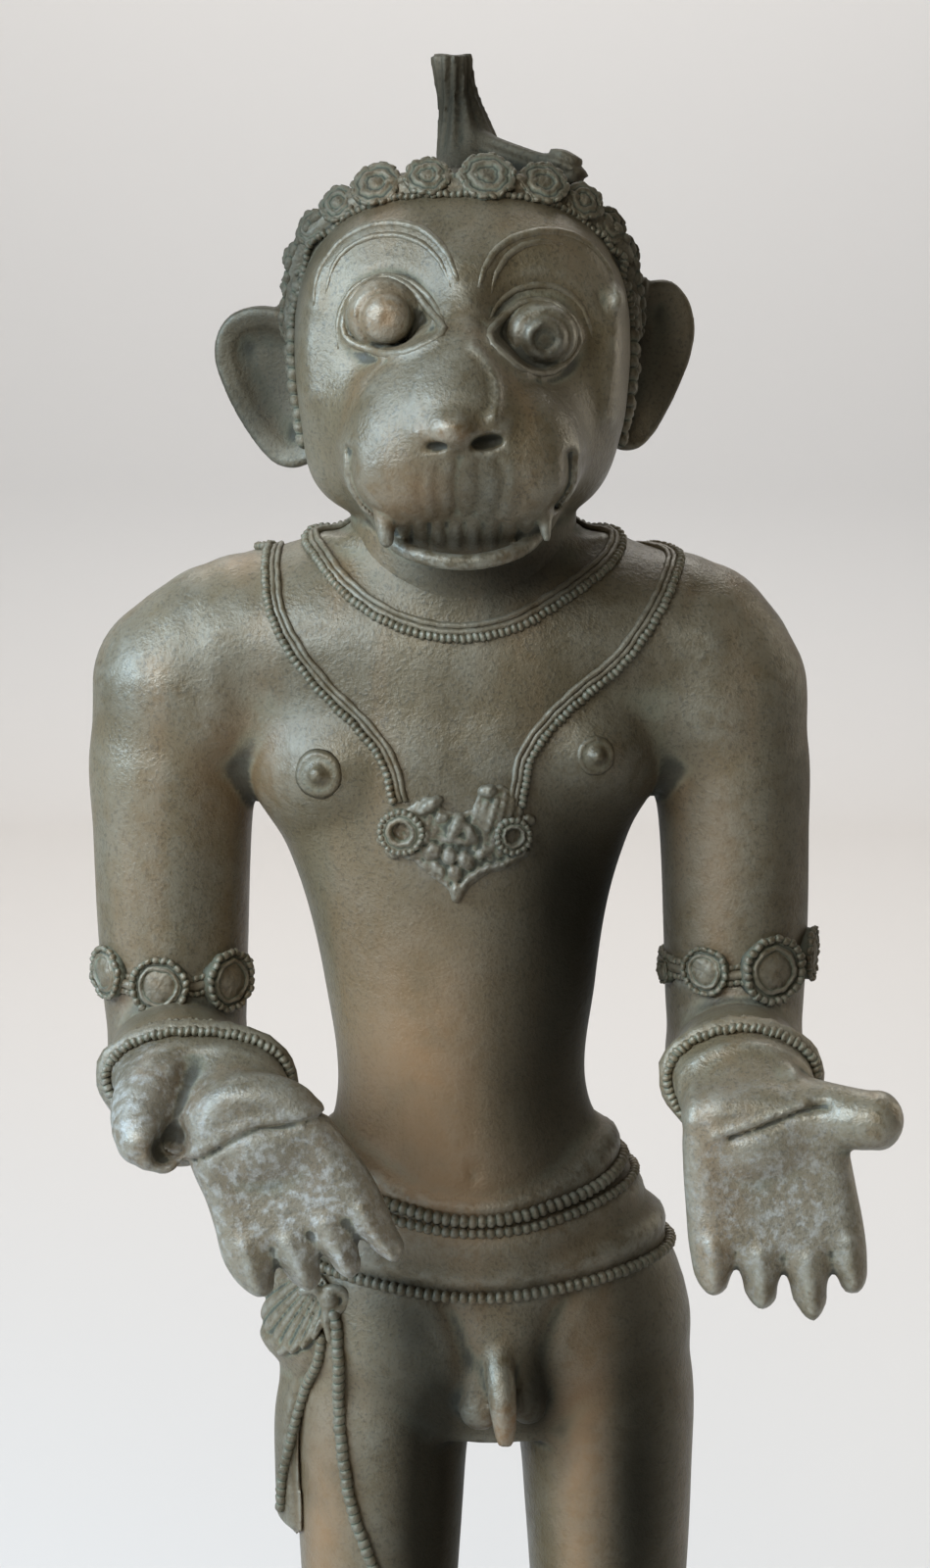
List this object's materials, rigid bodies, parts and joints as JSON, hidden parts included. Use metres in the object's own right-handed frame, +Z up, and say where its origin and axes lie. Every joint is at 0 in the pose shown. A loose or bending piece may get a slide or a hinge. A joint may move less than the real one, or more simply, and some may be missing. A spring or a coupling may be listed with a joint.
{
  "type": "temple figure",
  "caption": "Standing monkey-faced temple figure in dark bronze, open hands held forward, with necklaces, armlets, belts and a sash, on a low round lotus base.",
  "frame": {"origin": "centre of the lotus base's underside", "axes": "+Z up, -Y the way the figure faces, +X the figure's own left"},
  "size_m": [0.1931, 0.165, 0.6453],
  "materials": {
    "figure_bronze": "old dark brown bronze patina, satin, rubbed warmer on belly, thighs and muzzle, pale green dust in the ornaments",
    "base_bronze": "old dark brown bronze patina, satin to matt"
  },
  "bodies": {
    "root": {"hanuman_figure": "figure_bronze", "lotus_base": "base_bronze"}
  },
  "joints": []
}
